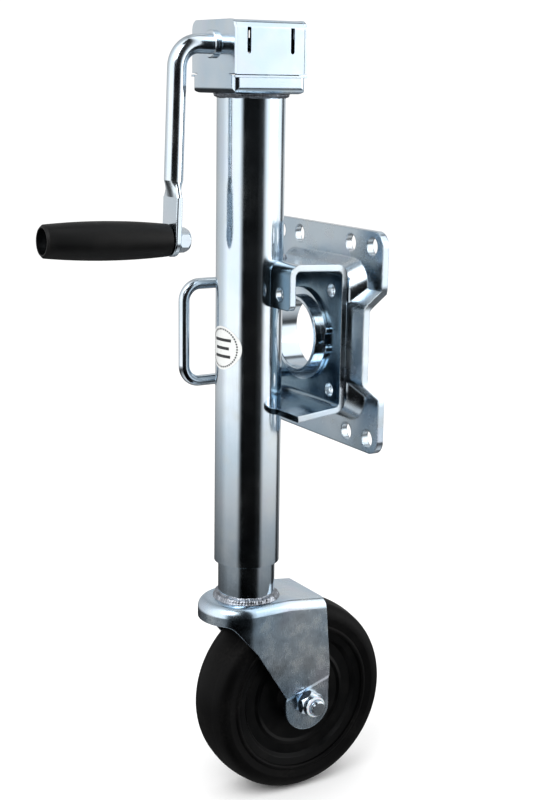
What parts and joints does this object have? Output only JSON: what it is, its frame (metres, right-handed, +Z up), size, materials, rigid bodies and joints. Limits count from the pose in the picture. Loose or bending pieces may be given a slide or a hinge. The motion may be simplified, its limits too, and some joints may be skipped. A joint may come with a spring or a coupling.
{
  "type": "trailer tongue jack",
  "caption": "Bolt-on swing-away trailer tongue jack with a side crank, gearbox, telescoping tube and swivel caster wheel.",
  "frame": {"origin": "centre of the tongue bolt pattern, on the bracket's tongue-side face, on the swing pivot's axis", "axes": "+X towards the trailer's tongue, +Z up along the jack's tube, the crank points to -X"},
  "size_m": [0.2871, 0.155, 0.6076],
  "materials": {
    "zinc_plate": "polished",
    "plated_weld": "satin",
    "sintered_bronze": "satin",
    "greased_steel": "satin",
    "spring_steel": "satin",
    "label": "satin",
    "black_plastic": "satin",
    "wheel_plastic": "satin",
    "tyre": "satin"
  },
  "bodies": {
    "mount": {"mount_bracket": "zinc_plate", "pivot_collar": "zinc_plate", "collar_weld": "plated_weld", "retaining_ring": "zinc_plate"},
    "post": {"outer_tube": "zinc_plate", "swivel_bracket": "zinc_plate", "tube_welds": "plated_weld", "gearbox_base": "zinc_plate", "gearbox_cover": "zinc_plate", "box_weld": "plated_weld", "crank_bushing": "zinc_plate", "crank_far_bushing": "sintered_bronze", "bearing_plate": "greased_steel", "upper_race": "greased_steel", "thrust_balls": "greased_steel", "hub_washer": "greased_steel", "capacity_label": "label", "lock_springs": "spring_steel"},
    "crank": {"crank_arm": "zinc_plate", "pinion": "greased_steel", "pinion_pin": "greased_steel", "crank_clip": "greased_steel", "grip_bolt": "zinc_plate", "grip_nut": "zinc_plate"},
    "grip": {"crank_grip": "black_plastic"},
    "screw": {"jack_screw": "greased_steel", "screw_gear": "greased_steel", "screw_gear_pin": "greased_steel", "lower_race": "greased_steel"},
    "leg": {"drive_nut": "greased_steel"},
    "caster": {"inner_tube": "zinc_plate", "fork": "zinc_plate", "fork_weld": "plated_weld", "axle_bolt": "zinc_plate", "axle_nut": "zinc_plate", "hub_sleeve": "greased_steel", "axle_washers": "zinc_plate"},
    "wheel": {"tyre": "tyre", "wheel_centre": "wheel_plastic"},
    "lock": {"lock_handle": "zinc_plate", "lock_washers": "zinc_plate", "lock_cross_pins": "zinc_plate"}
  },
  "joints": [
    {"name": "swing", "type": "hinge", "parent": "mount", "child": "post", "pos_m": [0, 0, 0], "axis": [1, 0, 0], "range_deg": [-90, 90]},
    {"name": "crank_turn", "type": "hinge", "parent": "post", "child": "crank", "pos_m": [-0.0725, 0, 0.216], "axis": [1, 0, 0], "range_deg": [0, 28800]},
    {"name": "grip_spin", "type": "hinge", "parent": "crank", "child": "grip", "pos_m": [-0.13805, 0, 0.07708], "axis": [-0.9994, 0, 0.0349], "continuous": true},
    {"name": "screw_turn", "type": "hinge", "parent": "post", "child": "screw", "pos_m": [-0.0725, 0, 0], "axis": [0, 0, 1], "continuous": true},
    {"name": "leg_slide", "type": "slide", "parent": "post", "child": "leg", "axis": [0, 0, -1], "range_m": [0, 0.2541]},
    {"name": "caster_swivel", "type": "hinge", "parent": "leg", "child": "caster", "pos_m": [-0.0725, 0, 0], "axis": [0, 0, 1], "continuous": true},
    {"name": "wheel_spin", "type": "hinge", "parent": "caster", "child": "wheel", "pos_m": [-0.0315, 0, -0.295], "axis": [0, 1, 0], "continuous": true},
    {"name": "lock_slide", "type": "slide", "parent": "post", "child": "lock", "axis": [1, 0, 0], "range_m": [0, 0.012], "deforming": ["lock_springs"]}
  ],
  "couplings": [
    {"joint": "screw_turn", "follows": "crank_turn", "ratio": -0.5},
    {"joint": "leg_slide", "follows": "crank_turn", "m_per_rad": 0.00050532}
  ]
}
